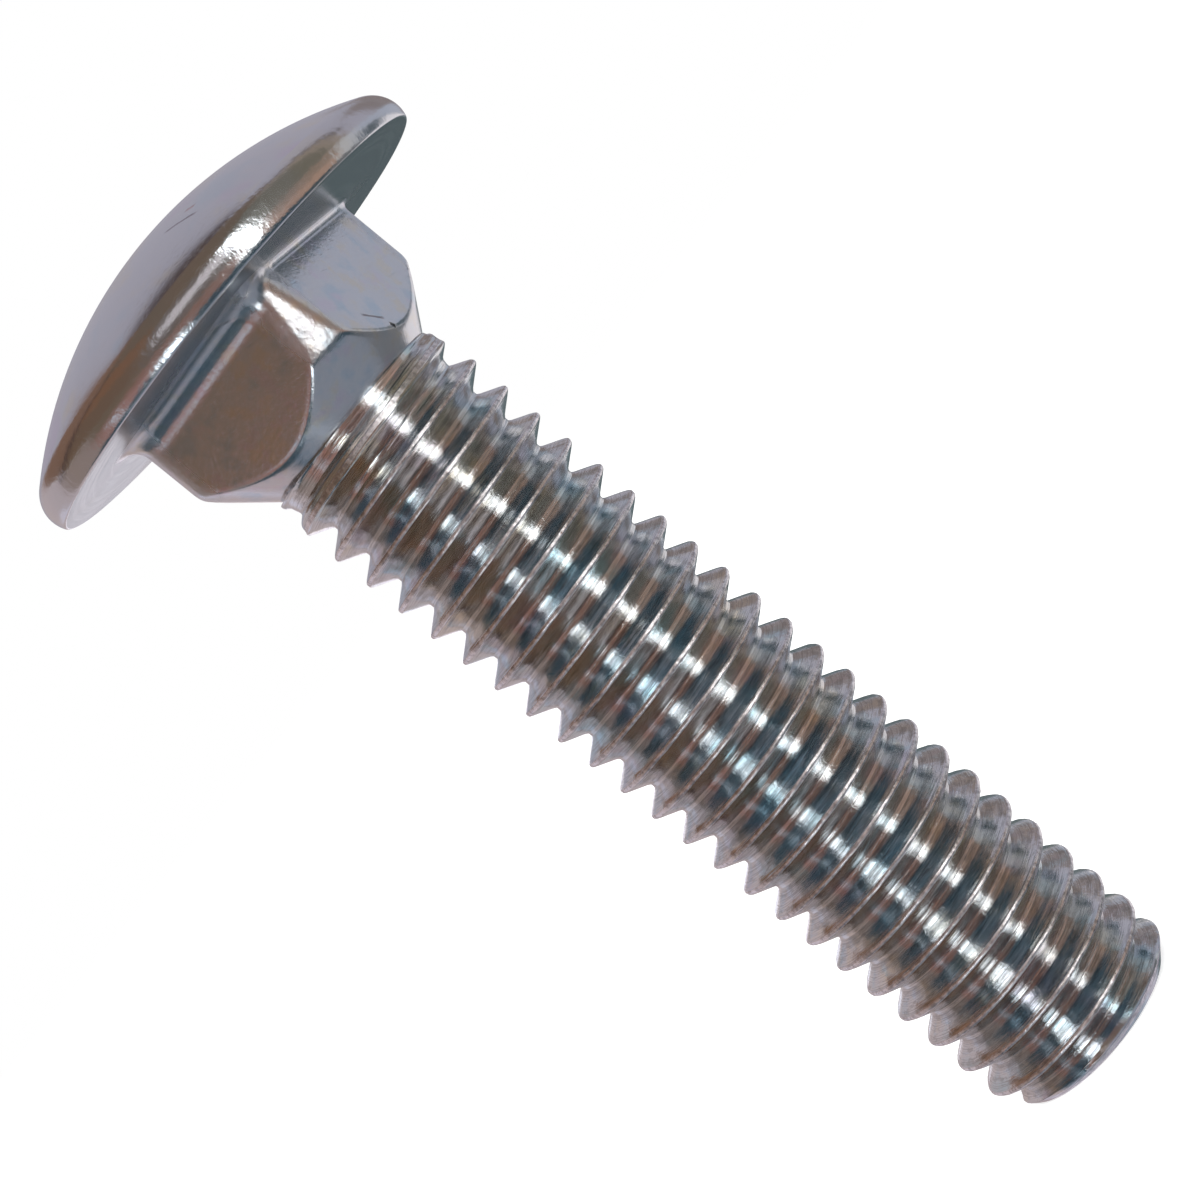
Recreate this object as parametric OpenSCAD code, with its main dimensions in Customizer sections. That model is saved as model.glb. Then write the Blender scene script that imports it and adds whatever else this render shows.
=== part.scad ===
// Round-head square-neck bolt, fully threaded, in millimetres.
// It stands on its chamfered end: origin at the middle of that end, +Z along the axis to the domed head.
// The flats of the square neck face +X, -X, +Y and -Y.

/* [Length] */
// Length under the head, from the bearing face to the threaded end
bolt_len = 43.4; // [25:0.1:90]

/* [Head] */
// Largest diameter of the head
head_d = 20.8; // [17:0.1:24]
// Height of the dome above the bearing face
head_h = 4.6; // [3.8:0.1:6]
// Radius of the rounded rim between the dome and the bearing face
rim_r = 1.25; // [0.9:0.05:1.8]
// Height of the rim's widest line above the bearing face
rim_rise = 0.55; // [0.2:0.05:0.8]

/* [Neck] */
// Width of the square neck across its flats
neck_w = 9.56; // [9:0.02:11]
// Length of each flat along its middle, from the bearing face
neck_len = 5; // [4:0.1:8]
// Diameter that the corners of the neck are turned to
neck_corner_d = 12.5; // [11.8:0.1:13.2]
// Slope of the cone that ends the neck, in degrees from the axis
neck_end_slope = 40; // [30:1:60]
// Radius of the fillet at the root of the neck
neck_fillet_r = 0.5; // [0.2:0.05:0.8]

/* [Thread] */
// Diameter over the crests
thread_d = 9.42; // [9:0.02:10]
// Advance in one turn
thread_pitch = 1.5875; // [1.2:0.0125:1.8]
// Width of the flat along the crest
crest_w = 0.2; // [0.1:0.01:0.3]
// Width of the flat along the root
root_w = 0.35; // [0.2:0.01:0.45]
// Angle between the two flanks, in degrees
flank_angle = 60; // [55:1:65]
// Diameter of the plain shank that the thread fades into below the neck
shank_d = 8.4; // [8:0.05:8.8]
// Length over which the thread fades into the plain shank
thread_fade = 1.6; // [0.8:0.1:4]
// Angle at which the line of the crests would meet the bearing face, in degrees
thread_turn = 15.7; // [0:0.1:360]

/* [End] */
// Diameter of the flat at the threaded end
end_d = 7.8; // [6:0.1:8.4]
// Length of the chamfer at the threaded end
end_chamfer = 0.8; // [0.5:0.1:2]

/* [Hidden] */
$fn = 96;
steel = [0.74, 0.75, 0.78];

// Dome: a sphere through the top of the head that runs smoothly into the rim
rim_centre = [head_d / 2 - rim_r, rim_rise];
dome_drop = head_h - rim_rise;
dome_r = (dome_drop^2 + rim_centre.x^2 - rim_r^2) / (2 * (dome_drop - rim_r));
dome_centre_z = head_h - dome_r;
// How far the sector that trims the dome reaches past it
sector_reach = 2 * dome_r;

// Neck: places measured down from the bearing face
shank_r = shank_d / 2;
neck_end_r = neck_w / 2;
neck_corner_r = neck_corner_d / 2;
// Depth at which the end cone has drawn in to the plain shank
neck_out = neck_len + (neck_end_r - shank_r) / tan(neck_end_slope);
// How far the cone runs on inside the shank
cone_lap = 0.6;
// Depth at which the turned corners meet the end cone
corner_depth = neck_len - (neck_corner_r - neck_end_r) / tan(neck_end_slope);
// How far the neck reaches up into the head
head_lap = 1;

// Thread: one pitch is a crest, a flank, a root and a flank
facets = 40;
crest_r = thread_d / 2;
flank_w = (thread_pitch - crest_w - root_w) / 2;
thread_depth = flank_w / tan(flank_angle / 2);
root_r = crest_r - thread_depth;
row_offset = [-crest_w / 2, crest_w / 2, crest_w / 2 + flank_w, crest_w / 2 + flank_w + root_w];
row_r = [crest_r, crest_r, root_r, root_r];
rows_per_turn = len(row_r);
// Turns from the bearing face to below the end, and those left out inside the neck
turns_down = ceil(bolt_len / thread_pitch) + 2;
turns_in_neck = max(1, floor(neck_len / thread_pitch - 0.5));
thread_z0 = bolt_len - turns_down * thread_pitch;
row_count = (turns_down - turns_in_neck - 1) * rows_per_turn;

// Radius of a row of the thread at height z, drawn in to the plain shank below the neck
function faded(r, z) =
    let (full = (bolt_len - neck_out - z) / thread_fade)
    shank_r + (r - shank_r) * max(0, min(1, full));

// Point of the thread at facet i of row k, where facet and row both follow the helix
function thread_point(i, k) =
    let (
        row = k % rows_per_turn,
        turn = floor(k / rows_per_turn) + i / facets,
        z = thread_z0 + turn * thread_pitch + row_offset[row],
        r = faded(row_r[row], z),
        a = thread_turn + 360 * i / facets
    )
    [r * cos(a), r * sin(a), z];

// Index of that point: after a full turn, facet 0 goes on one pitch further up
function thread_index(i, k) =
    i < facets ? k * facets + i : (k + rows_per_turn) * facets;

// Rim of the thread's lower or upper end: once round the helix, then back along one pitch
function end_loop(k) = concat(
    [for (i = [0 : facets - 1]) thread_index(i, k)],
    [for (j = [rows_per_turn : -1 : 1]) thread_index(0, k + j)]
);

// Closes an end with a fan of triangles round a point on the axis
function fan(loop, centre, up) = [
    for (j = [0 : len(loop) - 1])
        let (p = loop[j], q = loop[(j + 1) % len(loop)])
        up ? [centre, q, p] : [centre, p, q]
];

// Dome, rim and bearing face, turned about the axis
module head() {
    translate([0, 0, bolt_len])
        rotate_extrude()
            intersection() {
                square([head_d, head_h]);
                union() {
                    translate(rim_centre) circle(r = rim_r);
                    intersection() {
                        translate([0, dome_centre_z]) circle(r = dome_r);
                        polygon([
                            [0, dome_centre_z],
                            [0, dome_centre_z] + [rim_centre.x, rim_rise - dome_centre_z]
                                * sector_reach / (dome_r - rim_r),
                            [0, dome_centre_z + sector_reach]
                        ]);
                    }
                }
            }
}

// Side view of two opposite flats, with the fillets that meet the head
module flats_outline() {
    difference() {
        translate([-neck_w / 2 - neck_fillet_r, -neck_out - cone_lap])
            square([neck_w + 2 * neck_fillet_r, neck_out + cone_lap + head_lap]);
        for (side = [-1, 1]) {
            translate([side * (neck_w / 2 + neck_fillet_r), -neck_fillet_r])
                circle(r = neck_fillet_r);
            translate([side * (neck_w / 2 + neck_fillet_r), -neck_out - neck_fillet_r])
                square([2 * neck_fillet_r, 2 * neck_out], center = true);
        }
    }
}

// Turned outside of the neck: filleted corners, then the cone that draws in to the shank
module neck_outside() {
    fillet_out_r = neck_corner_r + neck_fillet_r;
    rotate_extrude()
        difference() {
            polygon([
                [0, head_lap],
                [fillet_out_r, head_lap],
                [fillet_out_r, -neck_fillet_r],
                [neck_corner_r, -neck_fillet_r],
                [neck_corner_r, -corner_depth],
                [shank_r - cone_lap * tan(neck_end_slope), -neck_out - cone_lap],
                [0, -neck_out - cone_lap]
            ]);
            translate([fillet_out_r, -neck_fillet_r]) circle(r = neck_fillet_r);
        }
}

// Square neck: two pairs of flats crossed, with the corners and the lower end turned down
module neck() {
    translate([0, 0, bolt_len])
        intersection() {
            crossed_flats();
            neck_outside();
        }
}

// The two pairs of flats, crossed at right angles
module crossed_flats() {
    intersection() {
        rotate([90, 0, 0]) linear_extrude(2 * neck_corner_d, center = true) flats_outline();
        rotate([90, 0, 90]) linear_extrude(2 * neck_corner_d, center = true) flats_outline();
    }
}

// Helical thread as one closed body, longer than the bolt at its lower end
module thread() {
    points = [
        for (k = [0 : row_count + rows_per_turn])
            for (i = [0 : facets - 1]) thread_point(i, k)
    ];
    low = len(points);
    high = low + 1;
    centres = [
        for (k = [0, row_count]) [0, 0, thread_point(0, k).z + thread_pitch / 2]
    ];
    sides = [
        for (k = [0 : row_count - 1])
            for (i = [0 : facets - 1])
                let (
                    a = thread_index(i, k),
                    b = thread_index(i + 1, k),
                    c = thread_index(i + 1, k + 1),
                    d = thread_index(i, k + 1)
                )
                each [[a, c, b], [a, d, c]]
    ];
    polyhedron(
        concat(points, centres),
        concat(sides, fan(end_loop(0), low, false), fan(end_loop(row_count), high, true))
    );
}

// Threaded shank, cut off square and chamfered at its end
module shank() {
    chamfer_rise = end_chamfer / (crest_r - end_d / 2);
    intersection() {
        thread();
        rotate_extrude()
            polygon([
                [0, 0],
                [end_d / 2, 0],
                [head_d / 2, (head_d - end_d) / 2 * chamfer_rise],
                [head_d / 2, 2 * bolt_len],
                [0, 2 * bolt_len]
            ]);
    }
}

// The whole bolt, forged and rolled as one piece
module bolt() {
    color(steel)
        union() {
            head();
            neck();
            shank();
        }
}

bolt();
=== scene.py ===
"""Looks of a bright zinc-plated bolt with a domed round head, a square neck and a fully threaded shank.

The classes of the bolt hold their sizes in millimetres, as the CAD model does. Meshes are made in metres, in
its frame: the bolt stands on its threaded end, with +Z along the axis to the head and the flats of the neck
facing X and Y. The studio's sizes are in metres, apart from the camera's place.
"""

import logging
import math
from dataclasses import dataclass
from enum import Enum

import bmesh
import bpy
import numpy as np
from mathutils import Matrix, Vector


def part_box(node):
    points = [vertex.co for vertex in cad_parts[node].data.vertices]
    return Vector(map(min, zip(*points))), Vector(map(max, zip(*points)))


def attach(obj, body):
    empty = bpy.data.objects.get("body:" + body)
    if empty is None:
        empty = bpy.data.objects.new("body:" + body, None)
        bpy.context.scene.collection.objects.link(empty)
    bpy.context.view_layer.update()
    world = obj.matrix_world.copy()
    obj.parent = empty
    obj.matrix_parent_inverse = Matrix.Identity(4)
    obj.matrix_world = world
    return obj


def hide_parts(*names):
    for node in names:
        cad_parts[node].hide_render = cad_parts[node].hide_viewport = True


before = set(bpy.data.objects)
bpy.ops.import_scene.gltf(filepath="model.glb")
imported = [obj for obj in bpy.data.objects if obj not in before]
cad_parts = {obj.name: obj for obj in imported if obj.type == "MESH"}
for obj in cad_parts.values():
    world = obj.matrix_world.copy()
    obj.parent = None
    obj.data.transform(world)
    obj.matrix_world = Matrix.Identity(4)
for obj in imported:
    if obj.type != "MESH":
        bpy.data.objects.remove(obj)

LOG = logging.getLogger("bolt")
MM = 0.001
BODY = "root"
NODE = "bolt"
PIECE = "zinc_bolt"
SHARP_ANGLE = 38.0
WHITE = (1.0, 1.0, 1.0)

Colour = tuple[float, float, float]
Place = tuple[float, float, float]
Range = tuple[float, float]
Socket = bpy.types.NodeSocket


class Zone(Enum):
    """Stretches of the bolt that differ in finish, in the order of the mesh's material slots."""

    DOME = 0
    RIM = 1
    BEARING = 2
    NECK = 3
    THREAD = 4
    END = 5


def smooth_min(a: np.ndarray, b: np.ndarray, blend: float) -> np.ndarray:
    """Lower of two surfaces, rounded where they are less than a blend apart."""
    near = np.maximum(blend - np.abs(a - b), 0.0) / blend
    return np.minimum(a, b) - near * near * blend / 4


def smooth_max(a: np.ndarray, b: np.ndarray, blend: float) -> np.ndarray:
    """Upper of two surfaces, with the hollow between them rounded."""
    return -smooth_min(-a, -b, blend)


def smooth_step(t: np.ndarray) -> np.ndarray:
    """Eases from 0 to 1 as t goes from 0 to 1."""
    t = np.clip(t, 0.0, 1.0)
    return t * t * (3 - 2 * t)


def wavering(
    angle: np.ndarray, seed: int, waves: int = 9, slowest: float = 0.7, closed: bool = False
) -> np.ndarray:
    """Irregular run of values along an angle, the same at each run of the script.

    Args:
        angle: Angles in radians, over as many turns as wanted.
        seed: Which run of values.
        waves: How many sine waves are added up.
        slowest: Cycles in a turn of the slowest wave.
        closed: Whether the values come round again after one turn.

    Returns:
        Values around 0, mostly between -1 and 1.
    """
    quickening = 1.63
    fading = 1.2
    spread = 2.2
    rng = np.random.default_rng(seed)
    total = np.zeros_like(angle, dtype=float)
    for wave in range(waves):
        rate = slowest * quickening ** wave
        rate = round(rate) if closed else rate
        total += np.sin(angle * rate + rng.uniform(0, math.tau)) * fading ** -wave
    return total / spread


class Skin:
    """Points and faces of one closed mesh, in millimetres.

    A ring is the numbers of its points, anticlockwise from above.
    """

    def __init__(self) -> None:
        """Starts with nothing in it."""
        self.points: list[np.ndarray] = []
        self.faces: list[tuple[int, ...]] = []
        self.zones: list[int] = []
        self.count = 0

    def add_points(self, points: np.ndarray) -> np.ndarray:
        """Adds points and returns their numbers."""
        numbers = np.arange(self.count, self.count + len(points))
        self.points.append(points)
        self.count += len(points)
        return numbers

    def add_point(self, x: float, y: float, z: float) -> int:
        """Adds one point and returns its number."""
        return int(self.add_points(np.array([[x, y, z]]))[0])

    def add_ring(self, angles: np.ndarray, radius: np.ndarray, z: float) -> np.ndarray:
        """Adds a level ring of points round the axis and returns their numbers."""
        level = np.full_like(angles, z)
        return self.add_points(np.stack([radius * np.cos(angles), radius * np.sin(angles), level], axis=1))

    def add_face(self, face: tuple[int, ...], zone: Zone) -> None:
        """Adds one face, its points anticlockwise from outside."""
        self.faces.append(face)
        self.zones.append(zone.value)

    def bridge(self, upper: np.ndarray, lower: np.ndarray, zone: Zone) -> None:
        """Joins a ring to the next one below, of as many points, with quads."""
        for here in range(len(upper)):
            there = (here + 1) % len(upper)
            corners = (upper[here], lower[here], lower[there], upper[there])
            self.add_face(tuple(int(corner) for corner in corners), zone)

    def stitch(self, upper: np.ndarray, lower: np.ndarray, zone: Zone) -> None:
        """Joins a ring to the next one below, of another number of points, with triangles."""
        place = np.concatenate(self.points)
        turn_up = np.arctan2(place[upper, 1], place[upper, 0])
        turn_low = np.arctan2(place[lower, 1], place[lower, 0])
        upper = np.roll(upper, -int(np.argmin(turn_up)))
        lower = np.roll(lower, -int(np.argmin(turn_low)))
        angle_up = np.append(np.sort(turn_up), turn_up.min() + math.tau)
        angle_low = np.append(np.sort(turn_low), turn_low.min() + math.tau)
        u = 0
        v = 0
        while u < len(upper) or v < len(lower):
            up = int(upper[u % len(upper)])
            low = int(lower[v % len(lower)])
            step_up = v == len(lower) or (u < len(upper) and angle_up[u + 1] <= angle_low[v + 1])
            if step_up:
                u += 1
                self.add_face((up, low, int(upper[u % len(upper)])), zone)
            else:
                v += 1
                self.add_face((up, low, int(lower[v % len(lower)])), zone)

    def fan(self, ring: np.ndarray, centre: int, zone: Zone, upward: bool) -> None:
        """Closes a ring with triangles round a middle point, facing up or down the axis."""
        for here in range(len(ring)):
            a = int(ring[here])
            b = int(ring[(here + 1) % len(ring)])
            self.add_face((centre, a, b) if upward else (centre, b, a), zone)

    def mesh(self, name: str) -> bpy.types.Mesh:
        """Makes the mesh in metres, smooth with sharp edges kept, its faces numbered by zone."""
        mesh = bpy.data.meshes.new(name)
        mesh.from_pydata((np.concatenate(self.points) * MM).tolist(), [], self.faces)
        mesh.polygons.foreach_set("material_index", self.zones)
        mesh.polygons.foreach_set("use_smooth", [True] * len(self.faces))
        mesh.set_sharp_from_angle(angle=math.radians(SHARP_ANGLE))
        mesh.validate()
        return mesh


@dataclass
class Head:
    """Domed round head with a rounded rim and a flat bearing face, drawn in unevenly as forged."""

    diameter: float
    bearing_z: float
    height: float = 4.6
    rim_r: float = 1.25
    rim_rise: float = 0.55
    edge_r: float = 0.12
    uneven: float = 0.05
    uneven_power: int = 3
    dome_rings: int = 24
    rim_rings: int = 22
    edge_rings: int = 5

    def outline(self) -> list[tuple[float, float]]:
        """Radius and height of each ring from beside the top: along the dome, the rim and its small edge."""
        drop = self.height - self.rim_rise
        rim_x = self.diameter / 2 - self.rim_r
        rim_z = self.bearing_z + self.rim_rise
        dome_r = (drop ** 2 + rim_x ** 2 - self.rim_r ** 2) / (2 * (drop - self.rim_r))
        dome_z = self.bearing_z + self.height - dome_r
        edge_x = rim_x + math.sqrt((self.rim_r - self.edge_r) ** 2 - (self.rim_rise - self.edge_r) ** 2)
        edge_z = self.bearing_z + self.edge_r
        leave = math.atan2(rim_x, rim_z - dome_z)
        arrive = math.pi / 2 + math.atan2(rim_z - edge_z, edge_x - rim_x)
        arcs = (
            (0.0, dome_z, dome_r, 0.0, leave, self.dome_rings),
            (rim_x, rim_z, self.rim_r, leave, arrive, self.rim_rings),
            (edge_x, edge_z, self.edge_r, arrive, math.pi, self.edge_rings),
        )
        points = []
        for x, z, radius, start, end, rings in arcs:
            for tilt in np.linspace(start, end, rings + 1)[1:]:
                points.append((x + radius * math.sin(tilt), z + radius * math.cos(tilt)))
        return points

    def build(self, skin: Skin, angles: np.ndarray) -> np.ndarray:
        """Adds the dome and the rim, and returns the ring at the edge of the bearing face."""
        top = skin.add_point(0.0, 0.0, self.bearing_z + self.height)
        dips = np.clip(1 + wavering(angles, seed=12, waves=5, slowest=2, closed=True), 0, 2) / 2
        last = None
        for number, (radius, z) in enumerate(self.outline()):
            drawn = radius - self.uneven * dips * (2 * radius / self.diameter) ** self.uneven_power
            ring = skin.add_ring(angles, drawn, z)
            if last is None:
                skin.fan(ring, top, Zone.DOME, upward=True)
            else:
                skin.bridge(last, ring, Zone.DOME if number < self.dome_rings else Zone.RIM)
            last = ring
        return last


@dataclass
class Neck:
    """Square neck under the head, its corners turned down and its lower end drawn in by a cone.

    The fillets under the head are listed for the flats that face +X, +Y, -X and -Y. One corner, the slack
    one, is wider under the head and tapers, as forged.
    """

    bearing_z: float
    width: float = 9.56
    length: float = 5.0
    corner_d: float = 12.5
    end_slope: float = 40.0
    fillet_r: tuple[float, ...] = (0.25, 0.5, 0.5, 1.15)
    fillet_blend: float = 6.0
    shank_d: float = 8.4
    edge_r: float = 0.3
    crisp_r: float = 0.14
    crisp_from: float = 2.8
    slack_corner: float = -45.0
    slack_top_d: float = 13.0
    slack_taper: float = 10.0
    slack_reach: float = 75.0
    bearing_rings: int = 8
    fillet_rings: int = 10
    row_height: float = 0.09
    points_round: int = 256
    corner_crowding: float = 0.62

    @property
    def out(self) -> float:
        """Depth under the bearing face at which the cone has drawn in to the shank."""
        return self.length + (self.width - self.shank_d) / 2 / math.tan(math.radians(self.end_slope))

    def angles(self) -> np.ndarray:
        """Angles of a ring's points, crowded towards the four corners."""
        quarter = np.arange(self.points_round // 4) / (self.points_round // 4) - 0.5
        wide = math.pi / 2 * (quarter + self.corner_crowding * np.sin(math.tau * quarter) / math.tau)
        return np.concatenate([wide + side * math.pi / 2 for side in range(4)])

    def fillet(self, angles: np.ndarray, depth: float) -> np.ndarray:
        """How far the fillet under the head stands out at each angle, at a depth under the bearing face."""
        turns = []
        sizes = []
        for side, size in enumerate(self.fillet_r):
            reach = 45 - self.fillet_blend
            turns += [90 * side - reach, 90 * side + reach]
            sizes += [size, size]
        size = np.interp(np.degrees(angles), turns, sizes, period=360)
        over = np.clip(size - depth, 0, None)
        return size - np.sqrt(size ** 2 - over ** 2)

    def radius(self, angles: np.ndarray, depth: float) -> np.ndarray:
        """Distance of the neck's surface from the axis at each angle, at a depth under the bearing face."""
        slim = np.maximum(np.abs(np.cos(angles)), np.abs(np.sin(angles)))
        fillet = self.fillet(angles, depth)
        square = (self.width / 2 + fillet) / slim
        away = np.abs((np.degrees(angles) - self.slack_corner + 180) % 360 - 180)
        slack_d = self.slack_top_d - 2 * depth * math.tan(math.radians(self.slack_taper))
        slack = smooth_step(1 - away / self.slack_reach)
        corner = (self.corner_d + (slack_d - self.corner_d) * slack) / 2 + fillet
        end = self.width / 2 + (self.length - depth) * math.tan(math.radians(self.end_slope))
        crisp = smooth_step(np.float64(depth - self.crisp_from))
        edge_r = self.edge_r + (self.crisp_r - self.edge_r) * crisp
        turned = smooth_min(corner, np.full_like(corner, end), edge_r)
        return smooth_min(square, turned, edge_r)

    def levels(self) -> list[float]:
        """Depth of each ring of the neck below the first, down to the shank."""
        deepest = max(self.fillet_r)
        turns = np.linspace(0, math.pi / 2, self.fillet_rings + 1)[1:]
        fillet = [deepest * (1 - math.cos(turn)) for turn in turns]
        rows = math.ceil((self.out - deepest) / self.row_height)
        return fillet + np.linspace(deepest, self.out, rows + 1)[1:].tolist()

    def build(self, skin: Skin, angles: np.ndarray, edge: np.ndarray, edge_r: float) -> np.ndarray:
        """Adds the bearing face and the neck.

        Args:
            skin: Where the points and faces go.
            angles: Angles of the points of each ring.
            edge: Point numbers of the ring at the edge of the bearing face.
            edge_r: Radius of that ring.

        Returns:
            Point numbers of the ring where the cone meets the shank.
        """
        root = self.radius(angles, 0.0)
        shares = np.linspace(0, 1, self.bearing_rings + 1)[1:]
        strips = [(edge_r + (root - edge_r) * share, 0.0, Zone.BEARING) for share in shares]
        strips += [(self.radius(angles, depth), depth, Zone.NECK) for depth in self.levels()]
        last = edge
        for radius, depth, zone in strips:
            ring = skin.add_ring(angles, radius, self.bearing_z - depth)
            skin.bridge(last, ring, zone)
            last = ring
        return last


@dataclass
class Thread:
    """Rolled right-hand thread from the neck to the chamfered end.

    Rows run along the helix. A row's share is its place in one pitch: 0 in the middle of the crest, 1 at the
    crest's edge and 2 in the middle of the root, and the same below 0 on the other side. A shallow seam,
    deepest at the neck, runs along the crest.
    """

    bearing_z: float
    top_z: float
    diameter: float = 9.42
    pitch: float = 1.5875
    crest_w: float = 0.18
    root_w: float = 0.22
    flank_angle: float = 62.5
    start_angle: float = 15.7
    run_in: float = 2.3
    first_crest_r: float = 4.44
    first_root_r: float = 4.27
    first_crest_w: float = 0.8
    crest_rounding: float = 0.15
    root_rounding: float = 0.08
    seam_depth: float = 0.010
    seam_share: float = 0.62
    seam_first: float = 1.8
    seam_mean: float = 0.75
    seam_wander: float = 0.5
    crest_wander: float = 0.013
    crest_sway: float = 0.022
    end_d: float = 7.8
    end_chamfer: float = 0.8
    chamfer_rounding: float = 0.12
    end_rings: tuple[float, ...] = (0.96, 0.75, 0.5, 0.25)
    half_rows: tuple[float, ...] = (0.22, 0.5, 0.8, 1.0, 1.06, 1.18, 1.42, 1.6, 1.74, 1.88)
    segments: int = 120
    spare_turns: int = 2
    cut_distance: float = 1e-5
    rim_distance: float = 1e-4

    def row_shares(self) -> np.ndarray:
        """Shares of the rows of one pitch, from root to root."""
        below = [-share for share in reversed(self.half_rows)]
        return np.array([-2.0, *below, 0.0, *self.half_rows])

    def profile(
        self, share: np.ndarray, entered: np.ndarray, angle: np.ndarray
    ) -> tuple[np.ndarray, np.ndarray]:
        """Form of the ridge at a row and an angle.

        Args:
            share: Row, from -2 to 2 over one pitch.
            entered: How far the thread has been rolled to its full depth, from 0 at the neck to 1.
            angle: Angle along the helix, in radians, over all its turns.

        Returns:
            Offset of each point from the middle of the crest along the axis, and its radius.
        """
        slope = 1 / math.tan(math.radians(self.flank_angle / 2))
        flank_w = (self.pitch - self.crest_w - self.root_w) / 2
        full_root = self.diameter / 2 - flank_w * slope
        half_crest = (self.first_crest_w + (self.crest_w - self.first_crest_w) * entered) / 2
        crest_r = self.first_crest_r + (self.diameter / 2 - self.first_crest_r) * entered
        root_r = self.first_root_r + (full_root - self.first_root_r) * entered
        crest_r = crest_r - self.crest_wander * (1 + wavering(angle, seed=3, slowest=1.7))
        side = np.abs(share)
        beyond = half_crest + (side - 1) * (self.pitch / 2 - half_crest)
        offset = np.where(side <= 1, side * half_crest, beyond)
        flank = crest_r - (offset - half_crest) * slope
        ridge = smooth_min(crest_r, flank, self.crest_rounding)
        radius = smooth_max(ridge, root_r, self.root_rounding)
        seam = np.clip(1 - (side / self.seam_share) ** 2, 0, 1)
        uneven = self.seam_mean + self.seam_wander * wavering(angle, seed=8, slowest=2.3)
        depth = self.seam_depth * (self.seam_first + (1 - self.seam_first) * entered) * uneven
        return np.sign(share) * offset, radius - np.clip(depth, 0, None) * seam

    def sleeve(self) -> bmesh.types.BMesh:
        """Open helical surface of the thread, longer than the bolt's shank at both ends."""
        shares = self.row_shares()
        rows = len(shares)
        turns = math.ceil(self.top_z / self.pitch) + 2 * self.spare_turns
        first_z = self.bearing_z - (math.ceil(self.bearing_z / self.pitch) + self.spare_turns) * self.pitch
        row = np.arange((turns + 1) * rows)
        column = np.arange(self.segments)
        winding = (row // rows)[:, None] + column[None, :] / self.segments
        share = np.broadcast_to(shares[row % rows][:, None], winding.shape)
        crest_z = first_z + winding * self.pitch
        nominal_z = crest_z + share * self.pitch / 4
        entered = smooth_step((self.top_z - nominal_z) / self.run_in)
        offset, radius = self.profile(share, entered, winding * math.tau)
        sway = wavering(winding * math.tau, seed=5, waves=7, slowest=2.9)
        z = crest_z + offset + self.crest_sway * sway * np.clip(2 - np.abs(share), 0, 1)
        chamfer = self.end_d / 2 + z * (self.diameter - self.end_d) / 2 / self.end_chamfer
        radius = smooth_min(radius, chamfer, self.chamfer_rounding)
        angle = math.radians(self.start_angle) + winding * math.tau
        points = np.stack([radius * np.cos(angle), radius * np.sin(angle), z], axis=2)
        sleeve = bmesh.new()
        verts = [sleeve.verts.new(point) for point in points.reshape(-1, 3)]
        for k in range(turns * rows - 1):
            for i in range(self.segments):
                nearer = k * self.segments + i
                wraps = i + 1 == self.segments
                farther = (k + rows) * self.segments if wraps else nearer + 1
                quad = (nearer, farther, farther + self.segments, nearer + self.segments)
                sleeve.faces.new([verts[number] for number in quad])
        return sleeve

    def build(self, skin: Skin, neck_ring: np.ndarray) -> None:
        """Adds the thread, cut square at both ends, between the neck's last ring and the flat end."""
        sleeve = self.sleeve()
        for height, away in ((self.top_z, 1.0), (0.0, -1.0)):
            geometry = sleeve.verts[:] + sleeve.edges[:] + sleeve.faces[:]
            bmesh.ops.bisect_plane(
                sleeve, geom=geometry, dist=self.cut_distance, plane_co=(0, 0, height),
                plane_no=(0, 0, away), clear_outer=True,
            )
        sleeve.verts.index_update()
        numbers = skin.add_points(np.array([vert.co[:] for vert in sleeve.verts]))
        for face in sleeve.faces:
            skin.add_face(tuple(int(numbers[vert.index]) for vert in face.verts), Zone.THREAD)
        upper = self.rim_of(sleeve, numbers, self.top_z)
        lower = self.rim_of(sleeve, numbers, 0.0)
        sleeve.free()
        skin.stitch(neck_ring, upper, Zone.THREAD)
        self.close_end(skin, lower)

    def rim_of(self, sleeve: bmesh.types.BMesh, numbers: np.ndarray, height: float) -> np.ndarray:
        """Ring of the points along the sleeve's cut at a height, by their numbers in the skin."""
        level = [vert for vert in sleeve.verts if abs(vert.co.z - height) < self.rim_distance]
        rim = [vert for vert in level if vert.is_boundary]
        rim.sort(key=lambda vert: math.atan2(vert.co.y, vert.co.x))
        return np.array([numbers[vert.index] for vert in rim])

    def close_end(self, skin: Skin, rim: np.ndarray) -> None:
        """Closes the threaded end with its flat, in rings that shrink to the middle."""
        place = np.concatenate(skin.points)[rim]
        last = rim
        for share in self.end_rings:
            ring = skin.add_points(place * np.array([share, share, 1.0]))
            skin.bridge(last, ring, Zone.END)
            last = ring
        skin.fan(last, skin.add_point(0.0, 0.0, 0.0), Zone.END, upward=False)


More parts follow.
